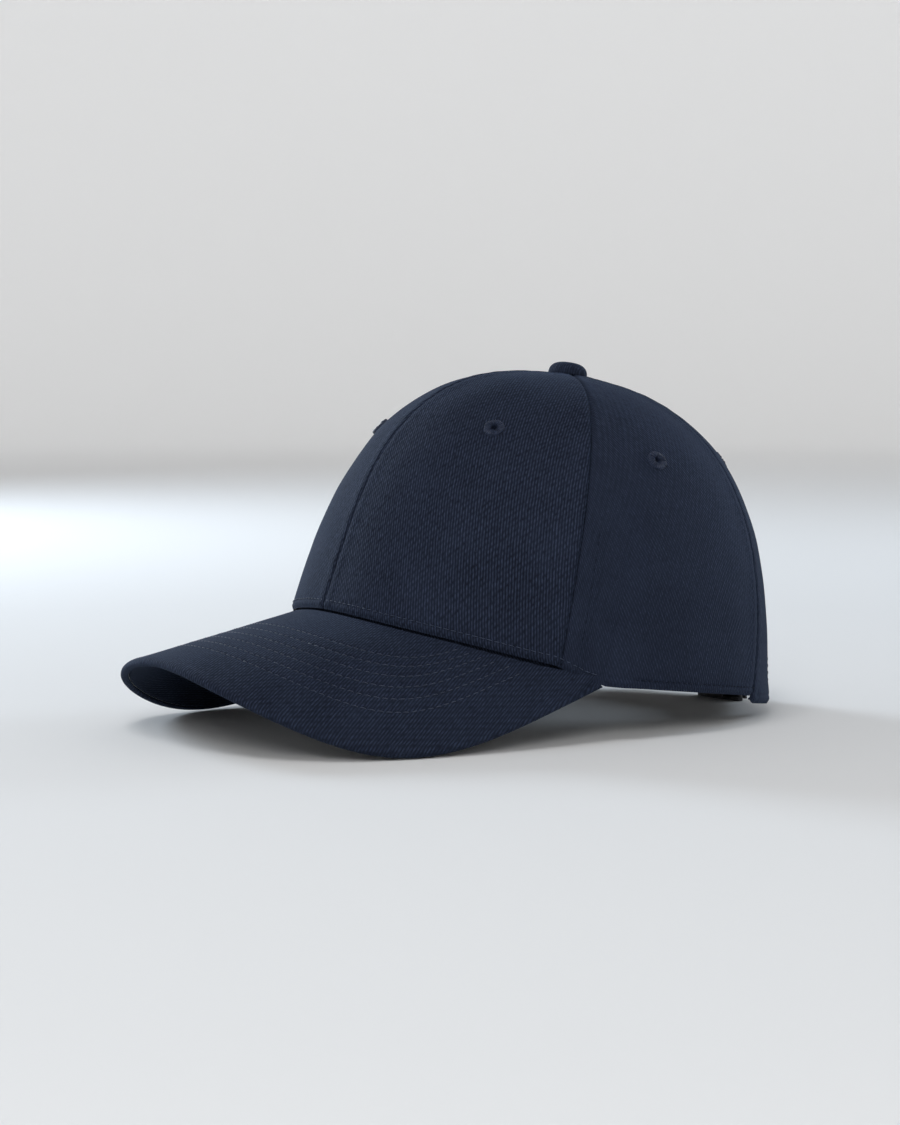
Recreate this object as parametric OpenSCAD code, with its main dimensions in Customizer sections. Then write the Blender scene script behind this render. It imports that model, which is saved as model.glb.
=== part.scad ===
// Six-panel baseball cap with a curved visor and a strap closed by a flip clasp.
// It stands on the two low sides of its visor and on the clasp at the back.
// +Z is up, the visor points along -Y and the wearer's left side is +X.
// Three numbers in one value are for the front, the side and the back of the crown.

/* [Crown] */
// Half width of the crown at its base
crown_half_width = 84.8; // [82:0.1:88]
// Base in front of the crown's middle
crown_front = 103; // [100:0.1:106]
// Base behind the crown's middle
crown_rear = 96.7; // [94:0.1:99]
// Height of the crown over its base
crown_height = 116.6; // [110:0.1:122]
// Angle that the crown leans back
crown_tilt = 9.25; // [7:0.05:11]
// Middle of the top, behind the middle of the base
top_middle = -2.5; // [-6:0.1:4]
// How far the wall swells out low down, as a share of the radius
wall_swell = [-0.151, 0.129, -0.229]; // [-0.3:0.001:0.3]
// How steeply the wall rises low down
wall_rise = [0.343, 0.9, 0.574]; // [0.2:0.001:1]
// How far the flat of the top reaches out
top_reach = [0.946, 0.332, 0.819]; // [0.2:0.001:1]
// Lift of the hem between the visor's end and the back
hem_lift = 2.85; // [1:0.05:4]
// Angle of the front seam from the middle, at the hem and at the top
front_seam = [65.9, 71.8]; // [60:0.1:76]
// Angle of the rear seam from the middle, at the hem and at the top
rear_seam = [123.4, 114.8]; // [110:0.1:128]
// Thickness of a cloth panel
panel_thick = 1; // [0.8:0.1:1]
// Thickness of the stiffening behind the front panels
buckram_thick = 0.7; // [0.5:0.1:0.7]
// Clear gap between the edges of two panels
seam_gap = 0.2; // [0.1:0.05:0.4]
// Width of the tape over a seam
tape_width = 12; // [9:0.5:13]
// Height of the sweatband
sweatband_height = 32; // [26:1:34]

/* [Visor] */
// Half width across the visor
visor_half_width = 82.3; // [80:0.1:84]
// Reach of the visor in front of its ends
visor_reach = 139.4; // [130:0.1:142]
// Place of the visor's ends, forward of the crown's middle
visor_end = 24.2; // [22:0.1:28]
// Angle from the middle to where the visor ends
visor_end_angle = 75; // [72:0.1:78]
// Squareness of the outline at the sides and at the front
visor_square = [2.48, 3.98]; // [2:0.01:4.5]
// Height of the visor at the middle of its root
visor_root = 40.8; // [38:0.1:43]
// Slope of the visor down to its front
visor_slope = 11.3; // [9:0.1:13]
// Drop at the sides: round part, shoulder part and edge part
visor_arch = [28.6, -5.7, 25.1]; // [-8:0.1:30]
// Growth of the round part per millimetre towards the front
visor_arch_growth = 0.0051; // [0.003:0.0001:0.006]
// Thickness of the stiff board
board_thick = 1.8; // [1.4:0.1:1.8]
// Thickness of the whole visor
visor_thick = 3.2; // [3:0.1:3.4]

/* [Button and eyelets] */
// Width of the covered button
button_width = 15; // [13:0.5:16]
// Height of the covered button
button_height = 4.7; // [4:0.1:5.5]
// Width of a stitched eyelet
eyelet_width = 8.6; // [7.5:0.1:9.5]
// Width of the hole through an eyelet
eyelet_hole = 2.4; // [2:0.1:2.8]
// Place of the left front eyelet: angle, and share of the way up the crown
front_eyelet = [38.4, 0.553]; // [0.3:0.001:60]
// Place of the right front eyelet, sewn a little nearer the front seam
front_eyelet_right = [31.5, 0.553]; // [0.3:0.001:60]
// Place of the side eyelets
side_eyelet = [86.5, 0.389]; // [0.3:0.001:100]
// Place of the rear eyelets
rear_eyelet = [152, 0.54]; // [0.3:0.001:160]

/* [Closure] */
// Half of the angle that the rear opening takes at the hem
opening_angle = 34.5; // [31:0.1:36]
// Share of the way up the crown where the rear opening ends
opening_top = 0.3; // [0.26:0.01:0.32]
// Width of the strap
strap_width = 19.2; // [18:0.1:20]
// Lower edge of the strap above the hem
strap_rise = 1.34; // [1:0.01:2]
// Thickness of the strap
strap_thick = 1.2; // [1:0.05:1.3]
// Diameter of the clasp's pin
pin_diameter = 1.5; // [1.2:0.1:1.6]
// Clearance round the pin
pin_clearance = 0.05; // [0.03:0.01:0.08]
// How far the lever stands open
lever_open = 0; // [0:1:100]

/* [Hidden] */
$fn = 48;

navy = [0.12, 0.15, 0.22];
lining = [0.07, 0.08, 0.12];
white_board = [0.85, 0.85, 0.82];
brass_colour = [0.62, 0.52, 0.32];
thread = [0.13, 0.17, 0.26];

shift_y = 32.76; // brings the middle of the whole cap's length to Y = 0
lift = 1.034; // brings the lowest points to Z = 0
layer_gap = 0.15; // between two layers of the crown
buckram_at = -panel_thick - layer_gap; // outer faces of the layers, from the crown's outer face
tape_at = buckram_at - buckram_thick - 0.35;
rear_tape_at = -panel_thick - 0.5;
binding_at = -panel_thick - 0.35;
binding_thick = 0.4;
tape_thick = 0.5;
visor_root_depth = 1.9; // how far the visor runs in behind the crown's outer face
sweatband_at = -3.4;
sweatband_thick = 1.2;
apex_hole = 2.2;
tape_end = 16; // radius round the button where the tapes stop
half_visor = visor_thick / 2;
cover_thick = (visor_thick - board_thick) / 2 - 0.05;
hem_step = [3, 4]; // angles over which the hem comes down behind the visor's end
edge_roll = 1.4; // width of the rolled edge where the two covers meet

// ---- Curves of the crown and the visor ----

function blend3(th, v) =
    let (c = cos(th)) v[1] + (v[0] - v[2]) / 2 * c + ((v[0] + v[2]) / 2 - v[1]) * c * c;
function bezier(t, a, b, c, d) =
    let (u = 1 - t) u * u * u * a + 3 * u * u * t * b + 3 * u * t * t * c + t * t * t * d;
function base_x(th) = crown_half_width * sin(th);
function base_y(th) = -(cos(th) > 0 ? crown_front : crown_rear) * cos(th);
function base_radius(th) = norm([base_x(th), base_y(th) - top_middle]);
function from_front(th) = abs(th) > 180 ? 360 - abs(th) : abs(th);
function hem_rise(th) =
    hem_lift * sin(180 * max(0, (from_front(th) - visor_end_angle) / (180 - visor_end_angle)));
function wall_radius(th, t) = bezier(t, 1, 1 + blend3(th, wall_swell), blend3(th, top_reach), 0);
function wall_height(th, t) =
    bezier(t, hem_rise(th), crown_height * blend3(th, wall_rise), crown_height, crown_height);

// Point of the crown's outer face at angle th from the front and at share t of the way up
function crown(th, t) =
    let (r = wall_radius(th, t),
        z = wall_height(th, t),
        y = top_middle + r * (base_y(th) - top_middle) - crown_rear)
    [r * base_x(th), y * cos(crown_tilt) + z * sin(crown_tilt) + crown_rear,
        -y * sin(crown_tilt) + z * cos(crown_tilt)];
function unit(v) = v / norm(v);
function crown_normal(th, t) =
    unit(cross(crown(th + 0.5, t) - crown(th - 0.5, t), crown(th, t + 0.003) - crown(th, t - 0.003)));
function layer(th, t, depth) = crown(th, t) + depth * crown_normal(th, t);

// Share of the way up where the wall stands a given height over its base
function share_at(th, height, low = 0, high = 0.9, n = 14) =
    n == 0 ? (low + high) / 2
    : wall_height(th, (low + high) / 2) < height ? share_at(th, height, (low + high) / 2, high, n - 1)
    : share_at(th, height, low, (low + high) / 2, n - 1);
// Share of the way up where the wall is a given distance from the middle of the top
function share_round_top(th, radius) = 1 - radius / (3 * blend3(th, top_reach) * base_radius(th));

function visor_z(x, y) =
    let (q = x * x / visor_half_width / visor_half_width,
        growth = 1 - visor_arch_growth * (100 + y))
    visor_root - visor_arch[0] * growth * q - visor_arch[1] * q * q - visor_arch[2] * q * q * q
        + tan(visor_slope) * (y + crown_front);
function visor_normal(x, y) =
    unit([visor_z(x - 1, y) - visor_z(x + 1, y), visor_z(x, y - 1) - visor_z(x, y + 1), 2]);
function visor_layer(p, up) = [p[0], p[1], visor_z(p[0], p[1])] + up * visor_normal(p[0], p[1]);

// Share of the way up where the wall is a given height over the visor's middle surface
function share_over_visor(th, up, low = -0.05, high = 0.3, n = 14) =
    let (t = (low + high) / 2, p = crown(th, t))
    n == 0 ? t
    : p[2] < visor_z(p[0], p[1]) + up / visor_normal(p[0], p[1])[2] ? share_over_visor(th, up, t, high, n - 1)
    : share_over_visor(th, up, low, t, n - 1);
// Lower edge of the crown: over the visor in front, and free behind the visor's end
function hem_share(th, up) =
    let (end = visor_end_angle, a = abs(th), step = end + hem_step[0], run = hem_step[1])
    a <= end ? share_over_visor(a, up)
    : max(0, share_over_visor(end, up)) * min(1, max(0, (step + run - a) / run));

function front_seam_at(t) = front_seam[0] + (front_seam[1] - front_seam[0]) * t;
function rear_seam_at(t) = rear_seam[0] + (rear_seam[1] - rear_seam[0]) * t;
function gap_angle(th, t) = seam_gap / 2 / max(1, wall_radius(th, t) * base_radius(th)) * 180 / PI;

// ---- Solids made from two grids of points ----

function quad(a, b, c, d) = [[a, b, c], [a, c, d]];
// Solid between the grid of outer points a and the grid of inner points b
module skin(a, b) {
    rows = len(a);
    cols = len(a[0]);
    inner = rows * cols;
    last = rows - 1;
    side = cols - 1;
    points = [for (grid = [a, b], row = grid, p = row) p];
    faces = [
        for (i = [0:rows - 2], j = [0:cols - 2])
            let (k = i * cols + j)
            each concat(quad(k, k + 1, k + cols + 1, k + cols),
                quad(inner + k, inner + k + cols, inner + k + cols + 1, inner + k + 1)),
        for (i = [0:rows - 2])
            let (k = i * cols)
            each concat(quad(k, k + cols, inner + k + cols, inner + k),
                quad(k + side, inner + k + side, inner + k + cols + side, k + cols + side)),
        for (j = [0:cols - 2])
            let (k = last * cols + j)
            each concat(quad(j, inner + j, inner + j + 1, j + 1),
                quad(k, k + 1, inner + k + 1, inner + k))
    ];
    polyhedron(points, faces);
}

module place() translate([0, shift_y, lift]) children();
module mirrored(right) mirror([right ? 1 : 0, 0, 0]) children();
// Puts a turned piece on the crown's face, with its own Z along the outward normal
module on_crown(th, t) {
    n = crown_normal(th, t);
    translate(crown(th, t)) rotate([0, acos(n[2]), atan2(n[1], n[0])]) children();
}

// ---- Crown ----

panel_cols = 12;
panel_rows = 18;
arch_rows = 7;
hem_over_visor = 0.6; // clear height of the crown's edge over the visor
buckram_rows = 16;

// Rows of a rear panel crowd round the arch of the opening
function arch_turn(w) = min(90, 90 * w * panel_rows / arch_rows);
function rear_share(w) =
    w * panel_rows <= arch_rows ? opening_top * sin(arch_turn(w))
    : opening_top + (1 - opening_top) * (w * panel_rows - arch_rows) / (panel_rows - arch_rows);
function arch_edge(w) = 180 - opening_angle * cos(arch_turn(w));

function panel_start(kind, w) = kind == 0 ? 0 : kind == 1 ? front_seam_at(w) : rear_seam_at(rear_share(w));
function panel_stop(kind, w) = kind == 0 ? front_seam_at(w) : kind == 1 ? rear_seam_at(w) : arch_edge(w);
// Kind 0 is a front panel, 1 a side panel and 2 a rear panel
function panel_grid(kind, depth, rows = panel_rows, trim = 0) = [
    for (i = [0:panel_cols]) [
        for (j = [0:rows])
            let (w = j / panel_rows,
                way = kind == 2 ? rear_share(w) : w,
                start = panel_start(kind, w),
                stop = panel_stop(kind, w),
                raw = start + (stop - start) * i / panel_cols,
                hem = kind == 2 ? 0 : hem_share(raw, half_visor + hem_over_visor + (j == 0 ? trim : 0)),
                t = hem + (share_round_top(raw, apex_hole) - hem) * way,
                gap = gap_angle(raw, t),
                th = start + gap + (stop - start - 2 * gap) * i / panel_cols)
            layer(th, t, depth)
    ]
];
buckram_trim = 1.2; // how much higher than the panel the stiffening starts
module panel(kind, place_of_eyelet) {
    difference() {
        skin(panel_grid(kind, 0), panel_grid(kind, -panel_thick));
        eyelet_bore(place_of_eyelet);
    }
}
module buckram(place_of_eyelet) {
    difference() {
        skin(panel_grid(0, buckram_at, buckram_rows, buckram_trim),
            panel_grid(0, buckram_at - buckram_thick, buckram_rows, buckram_trim));
        eyelet_bore(place_of_eyelet);
    }
}

tape_rows = 16;
function tape_grid(kind, depth, low) = [
    for (i = [-1:1]) [
        for (j = [0:tape_rows])
            let (w = j / tape_rows,
                mid = kind == 0 ? 0 : kind == 1 ? front_seam_at(w) : kind == 2 ? rear_seam_at(w) : 180,
                start = kind < 2 ? hem_share(mid, half_visor + 1) + 0.02 : low,
                t = start + (share_round_top(mid, tape_end) - start) * w,
                th = mid + i * tape_width / 2 / (wall_radius(mid, t) * base_radius(mid)) * 180 / PI)
            layer(th, t, depth)
    ]
];
module seam_tape(kind, depth, low = 0.015) {
    skin(tape_grid(kind, depth, low), tape_grid(kind, depth - tape_thick, low));
}

binding_cols = 28;
binding_width = [1.02, 1.13]; // inner and outer edge, as shares of the opening
function binding_grid(depth) = [
    for (i = [0:binding_cols]) [
        for (j = [0:2])
            let (a = 4 + 172 * i / binding_cols,
                k = binding_width[1] - (binding_width[1] - binding_width[0]) * j / 2)
            layer(180 - opening_angle * k * cos(a), opening_top * k * sin(a), depth)
    ]
];

sweat_cols = 44;
sweat_end = 142;
function sweat_grid(depth) = [
    for (i = [-sweat_cols / 2:sweat_cols / 2]) [
        for (j = [0:5])
            let (th = sweat_end * 2 * i / sweat_cols,
                low = max(0.005, hem_share(th, -half_visor)),
                high = share_at(th, wall_height(th, low) + sweatband_height))
            layer(th, low + (high - low) * j / 5, depth)
    ]
];

// ---- Visor ----

visor_cols = 44;
visor_rows = 9;
function power(v, e) = sign(v) * pow(abs(v), e);
function visor_turn(u) = sign(u) * 90 * (1 - (1 - abs(u)) * (1 - abs(u)));
function visor_edge(u) =
    let (s = visor_turn(u))
    [visor_half_width * power(sin(s), 2 / visor_square[0]),
        -visor_end - visor_reach * power(cos(s), 2 / visor_square[1])];
function visor_inner(u) =
    let (th = visor_end_angle * visor_turn(u) / 90, p = layer(th, hem_share(th, 0), -visor_root_depth))
    [p[0], p[1]];
// Rows run from the root to the edge; the last ones are the rolled edge
function visor_row(u, j) =
    let (a = visor_inner(u), b = visor_edge(u), len_ab = norm(b - a),
        roll = min(0.45, edge_roll / len_ab))
    j >= visor_rows ? b
    : j == visor_rows - 1 ? a + (b - a) * (1 - roll)
    : a + (b - a) * (1 - roll - 0.1 / len_ab) * j / (visor_rows - 2);
function cover_grid(side, outer) = [
    for (i = [-visor_cols / 2:visor_cols / 2]) [
        for (j = [0:visor_rows])
            visor_layer(visor_row(2 * i / visor_cols, j),
                side * (outer ? half_visor : j < visor_rows - 1 ? half_visor - cover_thick : 0.05))
    ]
];
board_cols = visor_cols - 4; // the board stops short of the visor's ends
function board_grid(up) = [
    for (i = [-board_cols / 2:board_cols / 2]) [
        for (j = [0:visor_rows - 2]) visor_layer(visor_row(2 * i / visor_cols, j), up)
    ]
];

// ---- Button and eyelets: all turned ----

module button_ring(outline) {
    translate(crown(0, 1)) rotate([-crown_tilt, 0, 0]) rotate_extrude() polygon(outline);
}
button_base = 0.25;
cloth = 0.55;
shell_wall = 0.5;
// Half outline of a hollow dome, from its rim up to the middle
function dome(r, h, wall, base) = concat(
    [for (a = [0:10:90]) [r * cos(a), base + h * sin(a)]],
    [for (a = [90:-10:0]) [(r - wall) * cos(a), base + (h - wall) * sin(a)]]);
rivet_r = 1.2;
washer_r = 6;
rivet_head = 4.4;
module button_cover() color(navy) button_ring(dome(button_width / 2, button_height, cloth, button_base));
module button_shell() color(brass_colour)
    button_ring(dome(button_width / 2 - cloth - 0.1, button_height - cloth - 0.1, shell_wall, button_base + 0.05));
rivet_top = [1.4, 0.8]; // upper and lower face of the rivet's head
rivet_foot = [-2.1, -2.6, -2.8]; // the riveted end: upper face, edge and lowest point
rivet_foot_r = 2.2;
washer_at = [-1.45, -1.7, -1.95]; // upper face, edge and lower face of the dished washer
washer_bore = rivet_r + 0.05;
washer_flat = 3;
module button_rivet() color(brass_colour) button_ring([[0, rivet_top[0]], [rivet_head, rivet_top[0]],
    [rivet_head, rivet_top[1]], [rivet_r, rivet_top[1]], [rivet_r, rivet_foot[0]],
    [rivet_foot_r, rivet_foot[0]], [rivet_foot_r, rivet_foot[1]], [0, rivet_foot[2]]]);
module button_washer() color(brass_colour) button_ring([[washer_bore, washer_at[0]], [washer_r, washer_at[0]],
    [washer_r, washer_at[1]], [washer_flat, washer_at[2]], [washer_bore, washer_at[2]]]);

eyelet_shank = 2.5;
eyelet_depth = panel_thick + layer_gap + buckram_thick + 0.3;
module eyelet_bore(where) {
    on_crown(where[0], where[1]) translate([0, 0, -6]) cylinder(r = eyelet_shank + 0.05, h = 12);
}
// Rim over the cloth and a short tube through it
module eyelet(where) {
    on_crown(where[0], where[1]) rotate_extrude() polygon(concat(
        [[eyelet_hole / 2, -eyelet_depth], [eyelet_shank, -eyelet_depth], [eyelet_shank, 0.2],
            [eyelet_width / 2, 0.2]],
        [for (a = [0:15:180])
            let (r = (eyelet_width - eyelet_hole) / 4)
            [eyelet_hole / 2 + r + r * cos(a), 0.3 + 0.6 * sin(a)]]));
}

// ---- Strap and clasp ----

strap_mid = strap_rise + strap_width / 2;
strap_slant = 0.94; // height that a length along the leaning wall takes
function strap_share(th, w) = share_at(th, hem_rise(th) + strap_mid + w * strap_slant, -0.05, 0.5);
strap_from = 152; // loose end on the left
strap_to = 219; // sewn end on the right
strap_at = -2.6; // depth of the strap's middle behind the crown's face
strap_dip = 1.2; // how much deeper the loose end lies
strap_dip_at = [168, 184]; // angles over which it goes down
strap_lift = 0.1; // how much the sewn end comes up
strap_lift_from = 186;
function strap_ease(th) =
    (1 - cos(180 * min(1, max(0, (strap_dip_at[1] - th) / (strap_dip_at[1] - strap_dip_at[0]))))) / 2;
function strap_depth(th) =
    strap_at + strap_lift * max(0, th - strap_lift_from) / (strap_to - strap_lift_from) - strap_dip * strap_ease(th);
strap_cols = 40;
function strap_grid(face) = [
    for (i = [0:strap_cols]) [
        for (w = [-0.5, 0, 0.5])
            let (th = strap_from + (strap_to - strap_from) * i / strap_cols)
            layer(th, strap_share(th, w * strap_width), strap_depth(th) + face * strap_thick / 2)
    ]
];

// The clasp's frame: X along the strap, Y outwards and Z across the strap
clasp_at = crown(180, strap_share(180, 0));
clasp_lean = asin(crown_normal(180, strap_share(180, 0))[2]);
module in_clasp() translate(clasp_at) rotate([clasp_lean, 0, 0]) children();
rail_in = 10.6;
rail_out = 12;
rail_half = 11;
back_plate = [-5, -4.3];
back_plate_end = 5;
rail_top = 0.2;
bar_at = [13.5, -2.2];
bar_r = 0.8;
pin_at = [-8.5, -0.3];
pin_r = pin_diameter / 2;
pin_boss = 1.5;
lever_hub = pin_r + 0.65;
lever_plate = [0.9, 1.7];
lever_start = pin_at[0] + 2;
lever_end = 13;

module across(at, r, half) translate([at[0], at[1], -half]) cylinder(r = r, h = 2 * half);
module rail_outline() {
    difference() {
        union() {
            polygon([[-rail_half, back_plate[0]], [back_plate_end, back_plate[0]],
                [bar_at[0], bar_at[1] - 1.2], [bar_at[0] + 1.2, bar_at[1]],
                [bar_at[0], bar_at[1] + 1.2], [back_plate_end, rail_top], [-rail_half, rail_top]]);
            translate(pin_at) circle(r = pin_boss);
        }
        translate(pin_at) circle(r = pin_r);
    }
}
module clasp_frame() color(brass_colour) in_clasp() {
    for (side = [-rail_out, rail_in])
        translate([0, 0, side]) linear_extrude(rail_out - rail_in) rail_outline();
    translate([-rail_half, back_plate[0], -rail_in - 0.2])
        cube([rail_half + back_plate_end, back_plate[1] - back_plate[0], 2 * rail_in + 0.4]);
    across(bar_at, bar_r, rail_out);
}
module clasp_pin() color(brass_colour) in_clasp() across(pin_at, pin_r, rail_out);
module clasp_lever() color(brass_colour) in_clasp()
    translate([pin_at[0], pin_at[1], 0]) rotate([0, 0, lever_open]) translate([-pin_at[0], -pin_at[1], 0])
    difference() {
        union() {
            across(pin_at, lever_hub, rail_in - 0.2);
            translate([pin_at[0], pin_at[1], 0.2 - rail_in])
                cube([3, lever_plate[1] - pin_at[1] - 0.4, 2 * rail_in - 0.4]);
            translate([lever_start, lever_plate[0], -rail_out])
                cube([lever_end - lever_start, lever_plate[1] - lever_plate[0], 2 * rail_out]);
        }
        across(pin_at, pin_r + pin_clearance, rail_out);
    }

// The loop runs from the sewn end round the clasp's bar and back to the sewn end
loop_thick = 0.6;
loop_half = 8.8;
loop_from = 141;
loop_bend = bar_r + 0.1 + loop_thick / 2;
loop_bar_angle = 180 - asin(bar_at[0] / crown_half_width);
loop_rise_at = [147, 167]; // angles over which the loop comes up to the clasp's bar
loop_at = -2.55; // depth of its sewn end
loop_legs = 0.33; // half the distance between its two legs there
function loop_ease(th) =
    (1 - cos(180 * min(1, max(0, (th - loop_rise_at[0]) / (loop_rise_at[1] - loop_rise_at[0]))))) / 2;
loop_bar_depth = bar_at[1] + 1.25;
function loop_depth(th, side) =
    let (e = loop_ease(th))
    (1 - e) * (loop_at + side * loop_legs) + e * (loop_bar_depth + side * loop_bend);
function clasp_point(x, y, z) =
    clasp_at + [x, y * cos(clasp_lean) - z * sin(clasp_lean), y * sin(clasp_lean) + z * cos(clasp_lean)];
function loop_leg(th, w, side, face) =
    layer(th, strap_share(th, w), loop_depth(th, side) + face * side * loop_thick / 2);
function loop_turn(a, w, face) =
    let (r = loop_bend + face * loop_thick / 2)
    clasp_point(bar_at[0] - r * sin(a), bar_at[1] + r * cos(a), w);
leg_cols = 14;
loop_stop = loop_bar_angle - 1.5;
function loop_grid(face) = [
    for (i = [0:leg_cols]) [
        for (w = [-loop_half, 0, loop_half]) loop_leg(loop_from + (loop_stop - loop_from) * i / leg_cols, w, 1, face)
    ],
    for (a = [0:30:180]) [for (w = [-loop_half, 0, loop_half]) loop_turn(a, w, face)],
    for (i = [leg_cols:-1:0]) [
        for (w = [-loop_half, 0, loop_half]) loop_leg(loop_from + (loop_stop - loop_from) * i / leg_cols, w, -1, face)
    ]
];

// ---- Nodes ----

function front_place(right) = right ? front_eyelet_right : front_eyelet;
module panel_front(right) color(navy) place() mirrored(right) panel(0, front_place(right));
module panel_side(right) color(navy) place() mirrored(right) panel(1, side_eyelet);
module panel_rear(right) color(navy) place() mirrored(right) panel(2, rear_eyelet);
module buckram_half(right) color(white_board) place() mirrored(right) buckram(front_place(right));
module tape(kind, depth, right = false, low = 0.015)
    color(lining) place() mirrored(right) seam_tape(kind, depth, low);
module opening_binding() color(lining) place()
    skin(binding_grid(binding_at), binding_grid(binding_at - binding_thick));
module sweatband() color(lining) place()
    skin(sweat_grid(sweatband_at), sweat_grid(sweatband_at - sweatband_thick));
module visor_top_cover() color(navy) place() skin(cover_grid(1, true), cover_grid(1, false));
module visor_under_cover() color(lining) place() skin(cover_grid(-1, false), cover_grid(-1, true));
module visor_board() color(white_board) place() skin(board_grid(board_thick / 2), board_grid(-board_thick / 2));
module strap() color(navy) place() skin(strap_grid(1), strap_grid(-1));
module clasp_loop() color(navy) place() skin(loop_grid(1), loop_grid(-1));
module stitched_eyelet(where, right) color(thread) place() mirrored(right) eyelet(where);

panel_front(false);  // panel_front_left
panel_front(true);  // panel_front_right
panel_side(false);  // panel_side_left
panel_side(true);  // panel_side_right
panel_rear(false);  // panel_rear_left
panel_rear(true);  // panel_rear_right
buckram_half(false);  // buckram_left
buckram_half(true);  // buckram_right
tape(0, tape_at);  // seam_tape_front
tape(1, tape_at);  // seam_tape_side_left
tape(1, tape_at, true);  // seam_tape_side_right
tape(2, rear_tape_at);  // seam_tape_rear_left
tape(2, rear_tape_at, true);  // seam_tape_rear_right
tape(3, rear_tape_at, false, opening_top * 1.2);  // seam_tape_back
opening_binding();
sweatband();
visor_top_cover();
visor_board();
visor_under_cover();
place() button_cover();
place() button_shell();
place() button_rivet();
place() button_washer();
stitched_eyelet(front_eyelet, false);  // eyelet_front_left
stitched_eyelet(front_eyelet_right, true);  // eyelet_front_right
stitched_eyelet(side_eyelet, false);  // eyelet_side_left
stitched_eyelet(side_eyelet, true);  // eyelet_side_right
stitched_eyelet(rear_eyelet, false);  // eyelet_rear_left
stitched_eyelet(rear_eyelet, true);  // eyelet_rear_right
strap();
clasp_loop();
place() clasp_frame();
place() clasp_pin();
place() clasp_lever();
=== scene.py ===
import math
import bpy
import numpy as np
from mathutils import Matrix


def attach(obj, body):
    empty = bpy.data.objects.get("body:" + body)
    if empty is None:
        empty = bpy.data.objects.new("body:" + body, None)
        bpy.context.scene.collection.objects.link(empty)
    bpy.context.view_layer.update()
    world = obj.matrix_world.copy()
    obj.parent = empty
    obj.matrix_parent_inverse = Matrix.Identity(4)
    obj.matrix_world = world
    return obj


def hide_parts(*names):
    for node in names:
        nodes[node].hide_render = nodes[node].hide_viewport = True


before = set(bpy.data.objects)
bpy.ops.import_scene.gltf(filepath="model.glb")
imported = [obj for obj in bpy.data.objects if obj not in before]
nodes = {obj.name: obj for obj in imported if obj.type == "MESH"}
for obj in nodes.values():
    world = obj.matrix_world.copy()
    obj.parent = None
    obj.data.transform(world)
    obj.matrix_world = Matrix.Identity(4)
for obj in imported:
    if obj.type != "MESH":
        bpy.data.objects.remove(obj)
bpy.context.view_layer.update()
print("frame loaded:", len(nodes), "nodes")

# the shape of the cap, in millimetres and degrees
# three numbers in one value are for the front, the side and the back

crown = {
    "halfWidth": 84.8,
    "front": 103.0,
    "rear": 96.7,
    "height": 116.6,
    "lean": 9.25,
    "topMiddle": -2.5,
    "swell": (-0.151, 0.129, -0.229),
    "rise": (0.343, 0.9, 0.574),
    "reach": (0.946, 0.332, 0.819),
    "hemLift": 2.85,
    "frontSeam": (65.9, 71.8),
    "rearSeam": (123.4, 114.8),
    "openAngle": 34.5,
    "openTop": 0.3,
    "thick": 1.0,
}
visor = {
    "halfWidth": 82.3,
    "reach": 139.4,
    "end": 24.2,
    "endAngle": 75.0,
    "square": (2.48, 3.98),
    "root": 40.8,
    "slope": 11.3,
    "arch": (28.6, -5.7, 25.1),
    "archGrowth": 0.0051,
    "halfThick": 1.6,
    "rootDepth": 1.9,
}
place = np.array([0.0, 32.76, 1.034])  # the cap's own frame to the library's frame


def blend3(th, v):
    c = np.cos(np.radians(th))
    return v[1] + (v[0] - v[2]) / 2 * c + ((v[0] + v[2]) / 2 - v[1]) * c * c


def bezier(t, a, b, c, d):
    u = 1 - t
    return u**3 * a + 3 * u * u * t * b + 3 * u * t * t * c + t**3 * d


def baseXY(th):
    c = np.cos(np.radians(th))
    depth = np.where(c > 0, crown["front"], crown["rear"])
    return crown["halfWidth"] * np.sin(np.radians(th)), -depth * c


def baseRadius(th):
    x, y = baseXY(th)
    return np.hypot(x, y - crown["topMiddle"])


def hemRise(th):
    a = np.abs(th)
    a = np.where(a > 180, 360 - a, a)
    way = np.clip((a - visor["endAngle"]) / (180 - visor["endAngle"]), 0, 1)
    return crown["hemLift"] * np.sin(np.pi * way)


def wallRadius(th, t):
    return bezier(t, 1, 1 + blend3(th, crown["swell"]), blend3(th, crown["reach"]), 0)


def wallHeight(th, t):
    high = crown["height"]
    return bezier(t, hemRise(th), high * blend3(th, crown["rise"]), high, high)


def together(th, t):
    return np.broadcast_arrays(np.asarray(th, float), np.asarray(t, float))


def crownPoint(th, t):
    th, t = together(th, t)
    x, y = baseXY(th)
    r = wallRadius(th, t)
    z = wallHeight(th, t)
    back = crown["topMiddle"] + r * (y - crown["topMiddle"]) - crown["rear"]
    c, s = math.cos(math.radians(crown["lean"])), math.sin(math.radians(crown["lean"]))
    return np.stack([r * x, back * c + z * s + crown["rear"], z * c - back * s], -1)


def unit(v):
    return v / np.maximum(np.linalg.norm(v, axis=-1, keepdims=True), 1e-12)


def crownNormal(th, t):
    th, t = together(th, t)
    across = crownPoint(th + 0.4, t) - crownPoint(th - 0.4, t)
    up = crownPoint(th, np.minimum(t + 0.003, 0.9995)) - crownPoint(th, t - 0.003)
    return unit(np.cross(across, up))


def onCrown(th, t, depth=0.0):
    return crownPoint(th, t) + np.asarray(depth)[..., None] * crownNormal(th, t)


def roundTop(th, radius):
    return 1 - radius / (3 * blend3(th, crown["reach"]) * baseRadius(th))


def visorZ(x, y):
    q = (x / visor["halfWidth"]) ** 2
    a, b, c = visor["arch"]
    growth = 1 - visor["archGrowth"] * (100 + y)
    fall = a * growth * q + b * q * q + c * q**3
    return visor["root"] - fall + math.tan(math.radians(visor["slope"])) * (y + crown["front"])


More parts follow.
